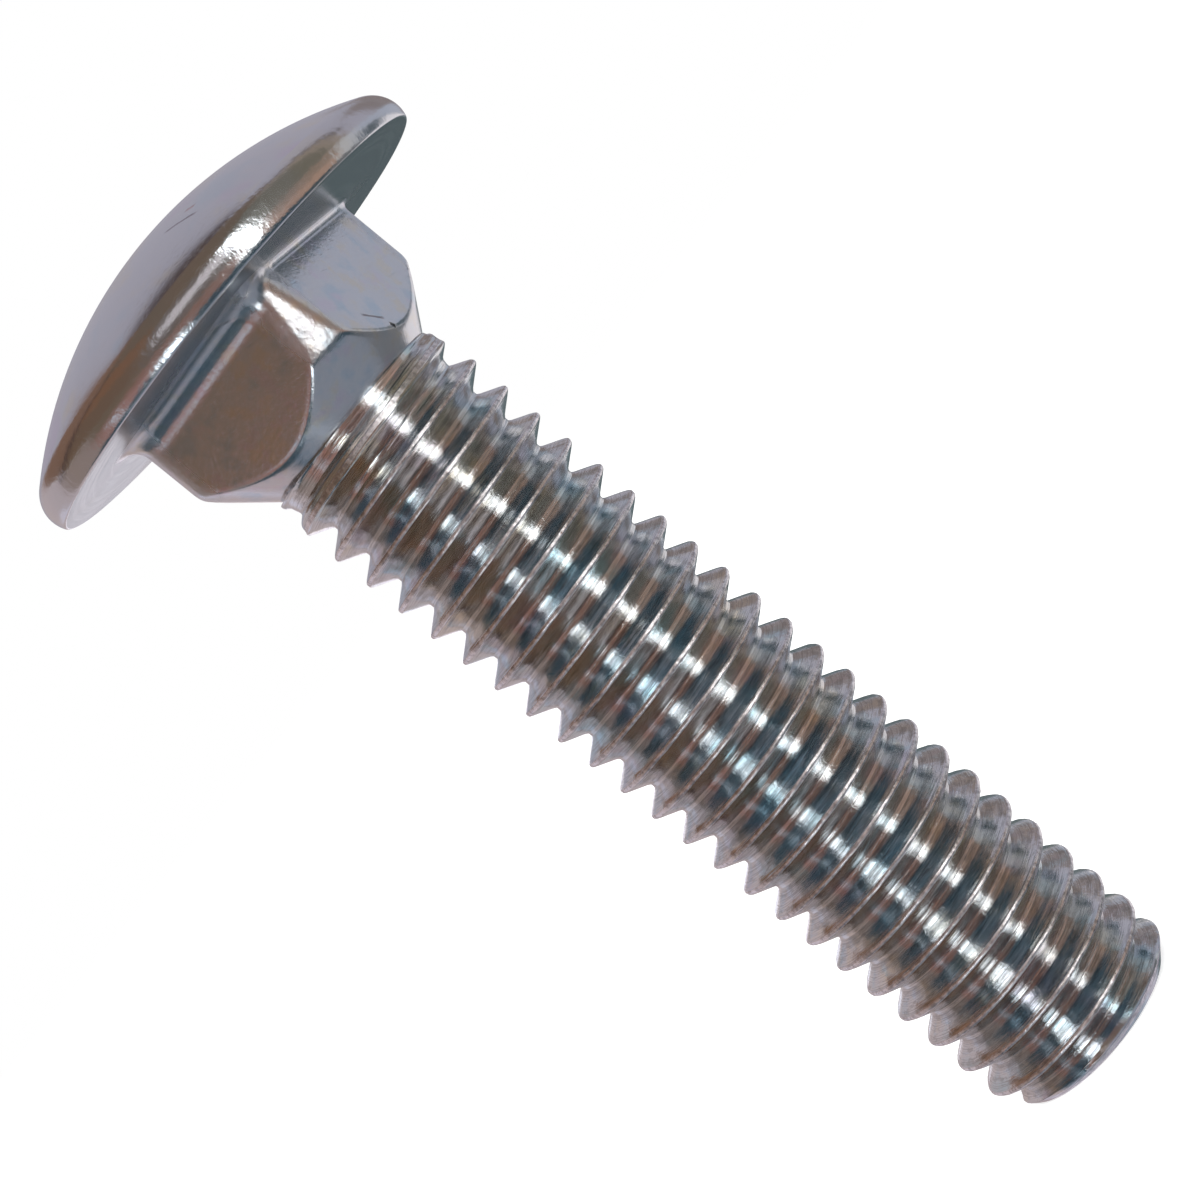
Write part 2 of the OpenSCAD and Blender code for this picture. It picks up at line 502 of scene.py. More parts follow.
class Nodes:
    """Short ways to place and join shader nodes in one tree."""

    def __init__(self, tree: bpy.types.NodeTree) -> None:
        """Works on a tree, which it empties first."""
        self.tree = tree
        tree.nodes.clear()

    def add(
        self, kind: str, inputs: dict[str | int, object] | None = None, **settings: object
    ) -> bpy.types.Node:
        """Adds a node and sets its properties and inputs.

        Args:
            kind: Type of the node, without the leading ShaderNode.
            inputs: Values or sockets by the name or number of the input.
            **settings: Properties by name.

        Returns:
            The new node.
        """
        node = self.tree.nodes.new(kind if kind.startswith("Node") else "ShaderNode" + kind)
        for name, value in settings.items():
            setattr(node, name, value)
        for label, value in (inputs or {}).items():
            self.put(node.inputs[label], value)
        return node

    def put(self, socket: Socket, value: object) -> None:
        """Links a socket to another one, or sets its value."""
        if isinstance(value, Socket):
            self.tree.links.new(value, socket)
        elif isinstance(value, tuple) and len(value) == 3 and socket.type == "RGBA":
            socket.default_value = (*value, 1.0)
        else:
            socket.default_value = value

    def place(self) -> Socket:
        """Place on the bolt, in metres in its frame."""
        return self.add("TexCoord").outputs["Object"]

    def math(self, operation: str, first: object, second: object = 0.0) -> Socket:
        """Adds a Math node and returns its output."""
        return self.add("Math", {0: first, 1: second}, operation=operation).outputs[0]

    def times(self, first: object, second: object) -> Socket:
        """Product of two values."""
        return self.math("MULTIPLY", first, second)

    def plus(self, base: object, value: object, share: object) -> Socket:
        """First value with a share of a second one added."""
        return self.math("ADD", base, self.times(value, share))

    def vector(self, operation: str, first: object, second: object = (0.0, 0.0, 0.0)) -> Socket:
        """Adds a Vector Math node and returns its output, which for a length or dot product is a number."""
        node = self.add("VectorMath", {0: first, 1: second}, operation=operation)
        return node.outputs["Value" if operation in ("LENGTH", "DOT_PRODUCT") else "Vector"]

    def from_axis(self, place: Socket) -> Socket:
        """Distance of a place from the bolt's axis."""
        return self.vector("LENGTH", self.vector("MULTIPLY", place, (1.0, 1.0, 0.0)))

    def ramp(self, value: Socket, low: object, high: object) -> Socket:
        """Eases from 0 at the low value to 1 at the high one, which may be the smaller number."""
        inputs = {"Value": value, "From Min": low, "From Max": high}
        return self.add("MapRange", inputs, interpolation_type="SMOOTHSTEP").outputs["Result"]

    def noise(self, vector: Socket, scale: object, detail: float = 3.0, roughness: float = 0.55) -> Socket:
        """Noise around 0.5. Its detail is how many finer layers it has, its roughness how strong they are."""
        inputs = {"Vector": vector, "Scale": scale, "Detail": detail, "Roughness": roughness}
        return self.add("TexNoise", inputs).outputs["Fac"]

    def mix(self, share: Socket, first: object, second: object) -> Socket:
        """Mixes a share of the second colour into the first."""
        inputs = {"Factor": share, "A": first, "B": second}
        return self.add("Mix", inputs, data_type="RGBA").outputs["Result"]


def new_material(name: str) -> tuple[bpy.types.Material, Nodes]:
    """Makes an empty material and returns it with its nodes."""
    material = bpy.data.materials.new(name)
    material.use_nodes = True
    return material, Nodes(material.node_tree)


class FinishGroups:
    """Shader node groups that the bolt's finishes share, each made once."""

    lilac_shift: Place = (0.37, 0.11, 0.23)
    dull_shift: Place = (0.05, 0.31, 0.17)
    scratch_turns: tuple[Place, ...] = ((0.3, 0.9, 0.2), (1.2, 0.1, 1.0), (0.7, 1.4, 2.1))
    scratch_edge: float = 0.06
    ragged_scale: float = 2600.0
    scuff_core: float = 0.3
    scuff_taper: float = 0.6

    def __init__(self) -> None:
        """Makes all the groups."""
        self.tint = self.passivate_tint()
        self.grain = self.plating_grain()
        self.scratches = self.fine_scratches()
        self.scuff = self.scuff_mark()

    def start(
        self, name: str, inputs: dict[str, str], outputs: dict[str, str]
    ) -> tuple[Nodes, bpy.types.NodeOutputs, bpy.types.NodeInputs]:
        """Makes an empty group with its sockets.

        Args:
            name: Name of the group.
            inputs: Socket type of each input by its name.
            outputs: Socket type of each output by its name.

        Returns:
            Its nodes, what it is given and what it results in.
        """
        tree = bpy.data.node_groups.new(name, "ShaderNodeTree")
        for way, sockets in (("INPUT", inputs), ("OUTPUT", outputs)):
            for label, kind in sockets.items():
                tree.interface.new_socket(label, in_out=way, socket_type="NodeSocket" + kind)
        nodes = Nodes(tree)
        return nodes, nodes.add("NodeGroupInput").outputs, nodes.add("NodeGroupOutput").inputs

    def passivate_tint(self) -> bpy.types.NodeTree:
        """Clouds of bluish, yellowish and lilac tint that the clear passivate gives bright zinc."""
        colours = {"Base": "Color", "Cool": "Color", "Warm": "Color", "Lilac": "Color"}
        nodes, given, result = self.start(
            "Passivate Tint", {**colours, "Scale": "Float", "Amount": "Float"}, {"Color": "Color"}
        )
        place = nodes.place()
        first = nodes.noise(place, given["Scale"], detail=4.0)
        second = nodes.noise(nodes.vector("ADD", place, self.lilac_shift), given["Scale"])
        clouds = (("Cool", first, 0.5, 0.68), ("Warm", first, 0.48, 0.32), ("Lilac", second, 0.54, 0.72))
        colour = given["Base"]
        for label, cloud, none, full in clouds:
            share = nodes.times(nodes.ramp(cloud, none, full), given["Amount"])
            colour = nodes.mix(share, colour, given[label])
        nodes.put(result["Color"], colour)
        return nodes.tree

    def plating_grain(self) -> bpy.types.NodeTree:
        """Slight unevenness of the plated metal: a height for the bump and a patchy dullness."""
        nodes, given, result = self.start(
            "Plating Grain",
            {"Wave Scale": "Float", "Wave Height": "Float", "Grain Scale": "Float", "Grain Height": "Float"},
            {"Height": "Float", "Dullness": "Float"},
        )
        place = nodes.place()
        wave = nodes.noise(place, given["Wave Scale"], detail=2.0)
        grain = nodes.noise(place, given["Grain Scale"], detail=2.0, roughness=0.6)
        broad = nodes.times(wave, given["Wave Height"])
        nodes.put(result["Height"], nodes.plus(broad, grain, given["Grain Height"]))
        moved = nodes.vector("ADD", place, self.dull_shift)
        nodes.put(result["Dullness"], nodes.noise(moved, given["Wave Scale"], detail=5.0))
        return nodes.tree

    def fine_scratches(self) -> bpy.types.NodeTree:
        """Thin scratches in several directions from handling: a mask of 0 to 1."""
        nodes, given, result = self.start(
            "Fine Scratches", {"Scale": "Float", "Stretch": "Float", "Threshold": "Float"}, {"Mask": "Float"}
        )
        place = nodes.place()
        total = 0.0
        for turn in self.scratch_turns:
            turned = nodes.add("VectorRotate", {"Vector": place, "Rotation": turn}, rotation_type="EULER_XYZ")
            stretch = nodes.add("CombineXYZ", {"X": given["Stretch"], "Y": 1.0, "Z": 1.0})
            drawn = nodes.vector("MULTIPLY", turned.outputs["Vector"], stretch.outputs["Vector"])
            line = nodes.noise(drawn, given["Scale"], detail=1.0)
            full = nodes.math("ADD", given["Threshold"], self.scratch_edge)
            total = nodes.math("ADD", total, nodes.ramp(line, given["Threshold"], full))
        nodes.put(result["Mask"], nodes.math("MINIMUM", total, 1.0))
        return nodes.tree

    def scuff_mark(self) -> bpy.types.NodeTree:
        """One short ragged mark at a place on the surface: a mask of 0 to 1."""
        nodes, given, result = self.start(
            "Scuff Mark",
            {"Centre": "Vector", "Along": "Vector", "Length": "Float", "Width": "Float"},
            {"Mask": "Float"},
        )
        place = nodes.place()
        wander = nodes.add("TexNoise", {"Vector": place, "Scale": self.ragged_scale})
        ragged = nodes.vector("SUBTRACT", wander.outputs["Color"], (0.5, 0.5, 0.5))
        shift = nodes.add("VectorMath", {0: ragged, "Scale": given["Width"]}, operation="SCALE")
        nearby = nodes.vector("SUBTRACT", place, given["Centre"])
        nearby = nodes.vector("ADD", nearby, shift.outputs["Vector"])
        along = nodes.vector("DOT_PRODUCT", nearby, given["Along"])
        reach = nodes.vector("LENGTH", nearby)
        across = nodes.math("SUBTRACT", nodes.times(reach, reach), nodes.times(along, along))
        across = nodes.math("SQRT", nodes.math("MAXIMUM", across, 0.0))
        half = nodes.times(given["Length"], 0.5)
        lengthwise = nodes.ramp(nodes.math("ABSOLUTE", along), half, nodes.times(half, self.scuff_taper))
        crosswise = nodes.ramp(across, given["Width"], nodes.times(given["Width"], self.scuff_core))
        nodes.put(result["Mask"], nodes.times(lengthwise, crosswise))
        return nodes.tree


@dataclass
class Surface:
    """Colour, roughness and bump height of a finish, as far as they have been built up."""

    nodes: Nodes
    groups: FinishGroups
    colour: Socket
    dull: Socket
    height: Socket

    def lift(self, value: Socket, height: float) -> None:
        """Adds a value, times a height, to the bump."""
        self.height = self.nodes.plus(self.height, value, height)

    def stain(self, share: Socket, colour: object) -> None:
        """Mixes a share of another colour in."""
        self.colour = self.nodes.mix(share, self.colour, colour)


class Mark:
    """What forging, rolling or handling leaves on the plating."""

    def add(self, surface: Surface) -> None:
        """Adds itself to a surface."""
        raise NotImplementedError


@dataclass(frozen=True)
class Scuff(Mark):
    """A short mark, its place in millimetres in the bolt's frame."""

    centre: Place
    along: Place
    length: float
    width: float
    colour: Colour
    depth: float = 0.2

    def add(self, surface: Surface) -> None:
        """Stains and sinks the surface at the mark."""
        centre = tuple(value * MM for value in self.centre)
        inputs = {"Centre": centre, "Along": self.along, "Length": self.length * MM, "Width": self.width * MM}
        mask = surface.nodes.add("Group", inputs, node_tree=surface.groups.scuff).outputs["Mask"]
        surface.stain(mask, self.colour)
        surface.lift(mask, -self.depth)


@dataclass(frozen=True)
class DieRings(Mark):
    """Uneven rings round the axis, as the die leaves under the head."""

    rate: float = 3200.0
    sway_scale: float = 300.0
    height: float = 0.20
    dark_range: Range = (0.55, 0.35)
    dark_share: float = 0.5
    dark: Colour = (0.50, 0.52, 0.53)

    def add(self, surface: Surface) -> None:
        """Lifts the rings and darkens the hollows between them."""
        nodes = surface.nodes
        place = nodes.place()
        drawn = nodes.add("CombineXYZ", {
            "X": nodes.times(nodes.from_axis(place), self.rate),
            "Y": nodes.noise(place, self.sway_scale, detail=1.0),
        })
        ring = nodes.noise(drawn.outputs["Vector"], 1.0, roughness=0.65)
        surface.lift(ring, self.height)
        surface.stain(nodes.times(nodes.ramp(ring, *self.dark_range), self.dark_share), self.dark)


@dataclass(frozen=True)
class CornerDents(Mark):
    """Small dents and a duller sheen on the turned corners of the square.

    A corner starts where the distances from the two middle planes of the square add up to its first size.
    """

    corner_range: Range = (8.0, 8.3)
    scale: float = 1500.0
    height: float = 0.7
    dullness: float = 0.08

    def add(self, surface: Surface) -> None:
        """Dents and dulls the corners."""
        nodes = surface.nodes
        place = nodes.place()
        parts = nodes.add("SeparateXYZ", {"Vector": nodes.vector("ABSOLUTE", place)}).outputs
        start, full = self.corner_range
        corner = nodes.ramp(nodes.math("ADD", parts["X"], parts["Y"]), start * MM, full * MM)
        dent = nodes.noise(place, self.scale, detail=2.0, roughness=0.6)
        surface.lift(nodes.times(dent, corner), self.height)
        surface.dull = nodes.plus(surface.dull, corner, self.dullness)


@dataclass(frozen=True)
class Streak:
    """Noise drawn out along the thread, which lifts the surface by a height and stains a share of it.

    Along is how often it changes in a metre along the helix, and lines how often across one pitch. The
    stain's range is where the noise has none of it and all of it.
    """

    along: float
    lines: float
    height: float = 0.0
    stain_range: Range = (0.5, 0.4)
    stain_share: float = 0.0
    stain: Colour = WHITE


@dataclass(frozen=True)
class RollMarks(Mark):
    """Streaks along the helix and beads on the crests, as rolling leaves them, and a darker colour in the
    roots.

    The crests are lightened towards white, a painted highlight. The crest's range is in pitches from its
    middle, and the range of the darker roots in millimetres below the crest.
    """

    thread: Thread
    streaks: tuple[Streak, ...] = (
        Streak(330.0, 14.0, height=0.30),
        Streak(260.0, 58.0, 0.06, (0.50, 0.40), 0.65, (0.44, 0.45, 0.46)),
        Streak(850.0, 7.0, 0.0, (0.50, 0.36), 0.6, (0.42, 0.43, 0.43)),
    )
    root_dark_range: Range = (0.74, 0.90)
    root_dark_share: float = 0.25
    root_dark_colour: Colour = (0.48, 0.47, 0.46)
    crest_range: Range = (0.09, 0.045)
    crest_roughness: float = 0.30
    bead_scale: float = 3400.0
    bead_range: Range = (0.36, 0.58)
    bead_dark: Colour = (0.58, 0.56, 0.58)
    bead_painted_highlight: Colour = (1.0, 0.97, 0.99)
    bead_height: float = 0.6

    def add(self, surface: Surface) -> None:
        """Adds the streaks, the darker roots and the crests with their painted highlight."""
        nodes = surface.nodes
        thread = self.thread
        place = nodes.place()
        parts = nodes.add("SeparateXYZ", {"Vector": place}).outputs
        start = 0.5 + thread.start_angle / 360 - thread.bearing_z / thread.pitch
        climb = nodes.math("ADD", nodes.math("DIVIDE", parts["Z"], thread.pitch * MM), start)
        turn = nodes.math("DIVIDE", nodes.math("ARCTAN2", parts["Y"], parts["X"]), math.tau)
        across = nodes.math("FRACT", nodes.math("SUBTRACT", climb, turn))
        for streak in self.streaks:
            drawn = nodes.add("CombineXYZ", {
                "X": nodes.times(parts["X"], streak.along),
                "Y": nodes.times(parts["Y"], streak.along),
                "Z": nodes.plus(climb, across, streak.lines),
            })
            value = nodes.noise(drawn.outputs["Vector"], 1.0, roughness=0.65)
            if streak.height > 0:
                surface.lift(value, streak.height)
            if streak.stain_share > 0:
                share = nodes.times(nodes.ramp(value, *streak.stain_range), streak.stain_share)
                surface.stain(share, streak.stain)
        # Darker colour towards the roots of the thread.
        shallow, deep = ((thread.diameter / 2 - depth) * MM for depth in self.root_dark_range)
        root = nodes.ramp(nodes.from_axis(place), shallow, deep)
        surface.stain(nodes.times(root, self.root_dark_share), self.root_dark_colour)
        # The crests take a beaded colour from a darker tone to near white; the near white is a painted
        # highlight along the crest.
        crest = nodes.ramp(nodes.math("ABSOLUTE", nodes.math("SUBTRACT", across, 0.5)), *self.crest_range)
        dent = nodes.noise(place, self.bead_scale, roughness=0.65)
        surface.stain(crest, nodes.mix(nodes.ramp(dent, *self.bead_range), self.bead_dark, self.bead_painted_highlight))
        surface.lift(nodes.times(dent, crest), self.bead_height)
        rougher = nodes.math("SUBTRACT", self.crest_roughness, surface.dull)
        surface.dull = nodes.plus(surface.dull, rougher, crest)


@dataclass(frozen=True)
class ZincFinish:
    """Bright zinc plating on one stretch of the bolt."""

    name: str
    base: Colour = (0.74, 0.75, 0.78)
    cool: Colour = (0.66, 0.73, 0.79)
    warm: Colour = (0.79, 0.75, 0.67)
    lilac: Colour = (0.75, 0.70, 0.78)
    tint_scale: float = 180.0
    tint_amount: float = 0.5
    glancing: Colour = WHITE
    roughness: float = 0.15
    dullness: float = 0.10
    wave_scale: float = 260.0
    wave_height: float = 0.05
    grain_scale: float = 5500.0
    grain_height: float = 0.04
    bump_depth: float = 0.05
    scratch_scale: float = 5200.0
    scratch_stretch: float = 0.02
    scratch_threshold: float = 0.66
    scratch_depth: float = 0.03
    marks: tuple[Mark, ...] = ()

    def material(self, groups: FinishGroups) -> bpy.types.Material:
        """Makes the material out of the shared node groups and the marks."""
        material, nodes = new_material(self.name)
        tint = nodes.add("Group", {
            "Base": self.base, "Cool": self.cool, "Warm": self.warm, "Lilac": self.lilac,
            "Scale": self.tint_scale, "Amount": self.tint_amount,
        }, node_tree=groups.tint)
        grain = nodes.add("Group", {
            "Wave Scale": self.wave_scale, "Wave Height": self.wave_height,
            "Grain Scale": self.grain_scale, "Grain Height": self.grain_height,
        }, node_tree=groups.grain)
        scratches = nodes.add("Group", {
            "Scale": self.scratch_scale, "Stretch": self.scratch_stretch, "Threshold": self.scratch_threshold,
        }, node_tree=groups.scratches)
        dull = nodes.add("Math", {
            0: grain.outputs["Dullness"], 1: self.dullness, 2: self.roughness - self.dullness / 2,
        }, operation="MULTIPLY_ADD")
        surface = Surface(nodes, groups, tint.outputs["Color"], dull.outputs[0], grain.outputs["Height"])
        surface.lift(scratches.outputs["Mask"], -self.scratch_depth)
        for mark in self.marks:
            mark.add(surface)
        relief = {"Strength": 1.0, "Distance": self.bump_depth * MM, "Height": surface.height}
        bump = nodes.add("Bump", relief)
        shader = nodes.add("BsdfPrincipled", {
            "Metallic": 1.0, "Specular Tint": self.glancing, "Base Color": surface.colour,
            "Roughness": surface.dull, "Normal": bump.outputs["Normal"],
        })
        nodes.add("OutputMaterial", {"Surface": shader.outputs["BSDF"]})
        return material


def zinc_finishes(thread: Thread) -> dict[Zone, ZincFinish]:
    """Finish of each stretch of the bolt, with the scuffs that the photograph shows."""
    dome_slant = (0.94, -0.13, -0.32)
    dome_scratch = Scuff((4.81, -4.99, 46.58), dome_slant, 2.0, 0.09, (0.40, 0.36, 0.40))
    dome_spot = Scuff((5.11, -4.29, 46.69), dome_slant, 0.6, 0.16, (0.62, 0.46, 0.46))
    neck_pit = Scuff((4.78, -0.86, 38.65), (0.0, 0.6, -0.8), 0.34, 0.15, (0.10, 0.10, 0.10))
    neck_scratch = Scuff((4.78, -1.33, 39.40), (0.0, 0.81, -0.59), 1.3, 0.06, (0.36, 0.35, 0.38))
    return {
        Zone.DOME: ZincFinish(
            "zinc_domed_head", lilac=(0.75, 0.67, 0.77), tint_scale=240.0, tint_amount=1.0, roughness=0.16,
            wave_height=0.09, grain_height=0.035, marks=(dome_scratch, dome_spot),
        ),
        Zone.RIM: ZincFinish("zinc_rim", roughness=0.19, grain_scale=3600.0, grain_height=0.26),
        # The bearing face's base and tint colours are far darker than the rest of the zinc: painted shade
        # under the head.
        Zone.BEARING: ZincFinish(
            "zinc_bearing_face_painted_shade", base=(0.31, 0.345, 0.36), cool=(0.27, 0.33, 0.36), warm=(0.35, 0.34, 0.31),
            lilac=(0.33, 0.31, 0.35), roughness=0.26, grain_height=0.01, marks=(DieRings(),),
        ),
        Zone.NECK: ZincFinish(
            "zinc_square_neck", cool=(0.61, 0.70, 0.78), warm=(0.79, 0.74, 0.66), tint_scale=800.0,
            tint_amount=0.85, roughness=0.20, grain_height=0.12,
            marks=(CornerDents(), neck_pit, neck_scratch),
        ),
        Zone.THREAD: ZincFinish(
            "zinc_rolled_thread", base=(0.82, 0.84, 0.86), cool=(0.62, 0.80, 0.87), warm=(0.87, 0.81, 0.70),
            lilac=(0.81, 0.77, 0.84), glancing=(0.95, 0.95, 0.95), tint_scale=420.0, tint_amount=0.85,
            roughness=0.14, grain_height=0.09, marks=(RollMarks(thread),),
        ),
        Zone.END: ZincFinish("zinc_cut_end", roughness=0.28, wave_height=0.12),
    }


@dataclass
class Bolt:
    """The whole bolt, one forged and rolled piece."""

    head: Head
    neck: Neck
    thread: Thread

    @classmethod
    def from_frame(cls) -> "Bolt":
        """Takes the head's diameter and the overall length from the CAD node."""
        low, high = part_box(NODE)
        diameter = 2 * min(-low.x, high.x, -low.y, high.y) / MM
        bearing_z = high.z / MM - Head.height
        neck = Neck(bearing_z=bearing_z)
        thread = Thread(bearing_z=bearing_z, top_z=bearing_z - neck.out)
        return cls(Head(diameter=diameter, bearing_z=bearing_z), neck, thread)

    def build(self) -> None:
        """Makes the bolt's mesh, dresses it and lets it ride on the CAD body in place of its node."""
        skin = Skin()
        angles = self.neck.angles()
        edge = self.head.build(skin, angles)
        edge_r = self.head.outline()[-1][0]
        neck_ring = self.neck.build(skin, angles, edge, edge_r)
        self.thread.build(skin, neck_ring)
        mesh = skin.mesh(PIECE)
        groups = FinishGroups()
        finishes = zinc_finishes(self.thread)
        for zone in Zone:
            mesh.materials.append(finishes[zone].material(groups))
        piece = bpy.data.objects.new(PIECE, mesh)
        bpy.context.scene.collection.objects.link(piece)
        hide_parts(NODE)
        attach(piece, BODY)
        LOG.info("%s: %d points, %d faces", piece.name, len(mesh.vertices), len(mesh.polygons))


@dataclass(frozen=True)
class Card:
    """A coloured upright board that the bright metal mirrors. The camera doesn't see it.

    The turn is in degrees round the bolt from the camera, anticlockwise from above. Lengths are in metres.
    """

    name: str
    turn: float
    distance: float
    width: float
    bottom: float
    top: float
    colour: Colour
    strength: float = 1.0


def level_square(size: float, z: float) -> list[Vector]:
    """Corners of a level square round the axis."""
    half = size / 2
    return [Vector((x * half, y * half, z)) for x, y in ((-1, -1), (1, -1), (1, 1), (-1, 1))]


@dataclass
class Studio:
    """White floor and ground, soft light, boards round the bolt and the camera at the photograph's angle."""

    camera_at: Place = (51.0, -83.4, 32.93)
    heading: float = 121.1
    pitch: float = -4.13
    roll: float = -50.7
    lens: float = 75.39
    sensor: float = 36.0
    clip: Range = (0.005, 20.0)
    fill_light: float = 0.6
    floor_size: float = 6.0
    floor_colour: Colour = (0.85, 0.85, 0.85)
    floor_glow: float = 0.54
    level_size: float = 1.4
    ceiling_z: float = 0.69
    ceiling_colour: Colour = (0.16, 0.116, 0.087)
    bench_z: float = -0.40
    bench_colour: Colour = (0.24, 0.26, 0.30)
    lamp_turns: tuple[float, ...] = (48.0, -48.0)
    lamp_distance: float = 0.6
    lamp_z: float = 0.7
    lamp_size: float = 0.5
    lamp_power: float = 4.0

    def boards(self) -> list[Card]:
        """Boards and light panels, as the mirror images in the metal call for."""
        lavender = (0.40, 0.385, 0.44)
        chestnut = (0.21, 0.125, 0.09)
        pale_rose = (1.12, 1.06, 1.16)
        rose_grey = (0.49, 0.415, 0.425)
        slate = (0.13, 0.165, 0.175)
        dark_brown = (0.06, 0.042, 0.04)
        rust = (0.20, 0.108, 0.066)
        drab = (0.16, 0.104, 0.072)
        brown = (0.16, 0.118, 0.085)
        red_brown = (0.31, 0.165, 0.138)
        russet = (0.245, 0.14, 0.112)
        pink_taupe = (0.28, 0.22, 0.20)
        olive = (0.165, 0.155, 0.13)
        tan = (0.40, 0.27, 0.215)
        sand = (0.27, 0.205, 0.17)
        taupe = (0.30, 0.25, 0.215)
        pale_blue = (0.42, 0.44, 0.51)
        dim_blue = (0.24, 0.255, 0.285)
        pale_grey = (0.50, 0.50, 0.51)
        white_rose = (0.85, 0.81, 0.83)
        pale_cyan = (0.60, 0.68, 0.75)
        pale_steel = (0.60, 0.68, 0.76)
        pale_pink = (0.60, 0.54, 0.54)
        white_lilac = (0.62, 0.58, 0.66)
        dove = (0.25, 0.21, 0.205)
        dark_teal = (0.05, 0.075, 0.085)
        grey = (0.17, 0.175, 0.185)
        teal = (0.045, 0.073, 0.092)
        dun = (0.15, 0.122, 0.108)
        warm_light = (1.0, 1.0, 0.98)
        cool_light = (0.93, 0.98, 1.0)
        low = self.bench_z
        high = self.ceiling_z
        foot = -0.105
        hip = -0.006
        front_foot = -0.13
        return [
            Card("backdrop", 180, 0.30, 0.267, 0.055, 0.52, lavender),
            Card("backdrop_edge", 180, 0.30, 0.30, 0.52, high, dark_brown),
            Card("backdrop_low", 170, 0.30, 0.108, low, 0.055, slate),
            Card("backdrop_left", -140, 0.31, 0.40, 0.17, high, chestnut),
            Card("edge_left", -111, 0.295, 0.04, 0.10, high, dark_brown),
            Card("backdrop_low_left", -145, 0.31, 0.45, low, 0.17, rose_grey),
            Card("backdrop_low_pale", -174, 0.295, 0.062, -0.03, 0.05, pale_rose),
            Card("backdrop_right", 139, 0.31, 0.50, 0.055, high, lavender),
            Card("backdrop_right_side", 158, 0.285, 0.08, 0.055, 0.16, dove),
            Card("teeth_right", 139, 0.285, 0.10, 0.075, 0.20, dove),
            Card("edge_right", 106, 0.295, 0.03, 0.16, high, dark_brown),
            Card("wall_left_high", -78, 0.30, 0.53, 0.36, high, rust),
            Card("wall_left_top", -78, 0.30, 0.53, 0.14, 0.36, drab),
            Card("wall_left", -75, 0.30, 0.47, 0.057, 0.14, brown),
            Card("wall_left_mid", -75, 0.30, 0.47, hip, 0.057, russet),
            Card("wall_left_low", -75, 0.30, 0.47, foot, hip, red_brown),
            Card("wall_left_foot", -75, 0.30, 0.47, low, foot, teal),
            Card("wall_left_side", -97, 0.285, 0.175, foot, 0.12, pink_taupe),
            Card("wall_left_strip", -62, 0.285, 0.02, foot, -0.012, pale_steel),
            Card("band_left", -62, 0.28, 0.03, -0.012, 0.022, pale_steel),
            Card("root_left", -142, 0.29, 0.09, -0.09, 0.035, white_lilac),
            Card("sheen_left", -62, 0.29, 0.03, low, -0.16, pale_cyan),
            Card("sheen_left_near", -62, 0.12, 0.014, low, -0.14, pale_cyan),
            Card("sheen_left_close", -62, 0.05, 0.01, low, -0.13, pale_cyan),
            Card("wall_right", 62, 0.30, 0.30, 0.09, high, olive),
            Card("wall_right_mid", 62, 0.30, 0.30, hip, 0.09, sand),
            Card("wall_right_low", 62, 0.30, 0.30, foot, hip, tan),
            Card("wall_right_foot", 62, 0.30, 0.30, low, foot, teal),
            Card("window_foot", 127, 0.26, 0.42, low, -0.055, grey),
            Card("window", 136, 0.26, 0.30, 0.032, 0.075, pale_blue),
            Card("window_low", 136, 0.26, 0.30, -0.055, 0.032, dim_blue),
            Card("window_pale", 146, 0.25, 0.15, -0.13, 0.03, white_rose),
            Card("band_right", 118, 0.25, 0.04, -0.03, 0.028, dark_teal),
            Card("window_side", 97, 0.26, 0.09, -0.055, 0.075, pale_grey),
            Card("window_top", 95, 0.30, 0.074, 0.075, high, taupe),
            Card("front_board", 0, 0.42, 0.66, 0.06, high, dun),
            Card("front_low", 0, 0.42, 0.66, front_foot, 0.06, russet),
            Card("front_foot", 0, 0.42, 0.66, low, front_foot, teal),
            Card("front_glow", 2, 0.40, 0.46, 0.20, 0.43, pale_pink),
            Card("end_glow", 180, 0.12, 0.20, -0.25, -0.09, white_lilac),
            Card("light_panel_right", 31, 0.36, 0.10, -0.10, 0.53, warm_light, 3.2),
            Card("light_panel_left", -27, 0.36, 0.10, -0.235, -0.115, cool_light, 3.6),
            Card("light_panel_left_low", -27, 0.36, 0.10, -0.39, -0.235, cool_light, 1.3),
            Card("light_panel_left_top", -27, 0.36, 0.10, -0.115, -0.055, cool_light, 0.8),
        ]

    def build(self) -> None:
        """Sets up the floor, world, lamps, boards and camera."""
        self.build_world()
        self.build_floor()
        for card in self.boards():
            self.place_board(card.name, self.card_corners(card), card.colour, card.strength)
        levels = (
            ("ceiling_board", self.ceiling_z, self.ceiling_colour),
            ("bench_board", self.bench_z, self.bench_colour),
        )
        for name, z, colour in levels:
            self.place_board(name, level_square(self.level_size, z), colour, 1.0)
        self.build_lamps()
        self.build_camera()

    def toward(self, turn: float) -> Vector:
        """Level direction at a turn round the bolt from the camera."""
        angle = math.radians(self.heading + 180 + turn)
        return Vector((math.cos(angle), math.sin(angle), 0.0))

    def background_share(self, nodes: Nodes) -> Socket:
        """1 for the rays that see the white ground: from the camera, mirrored or through glass."""
        path = nodes.add("LightPath").outputs
        seen = nodes.math("MAXIMUM", path["Is Camera Ray"], path["Is Glossy Ray"])
        return nodes.math("MAXIMUM", seen, path["Is Transmission Ray"])

    def build_world(self) -> None:
        """Soft even light from all round, and white where the ground is seen."""
        world = bpy.data.worlds.new("studio_world")
        world.use_nodes = True
        bpy.context.scene.world = world
        nodes = Nodes(world.node_tree)
        light = nodes.add("Background", {"Color": WHITE, "Strength": self.fill_light})
        ground = nodes.add("Background", {"Color": WHITE})
        either = nodes.add("MixShader", {
            "Fac": self.background_share(nodes),
            1: light.outputs["Background"],
            2: ground.outputs["Background"],
        })
        nodes.add("OutputWorld", {"Surface": either.outputs["Shader"]})

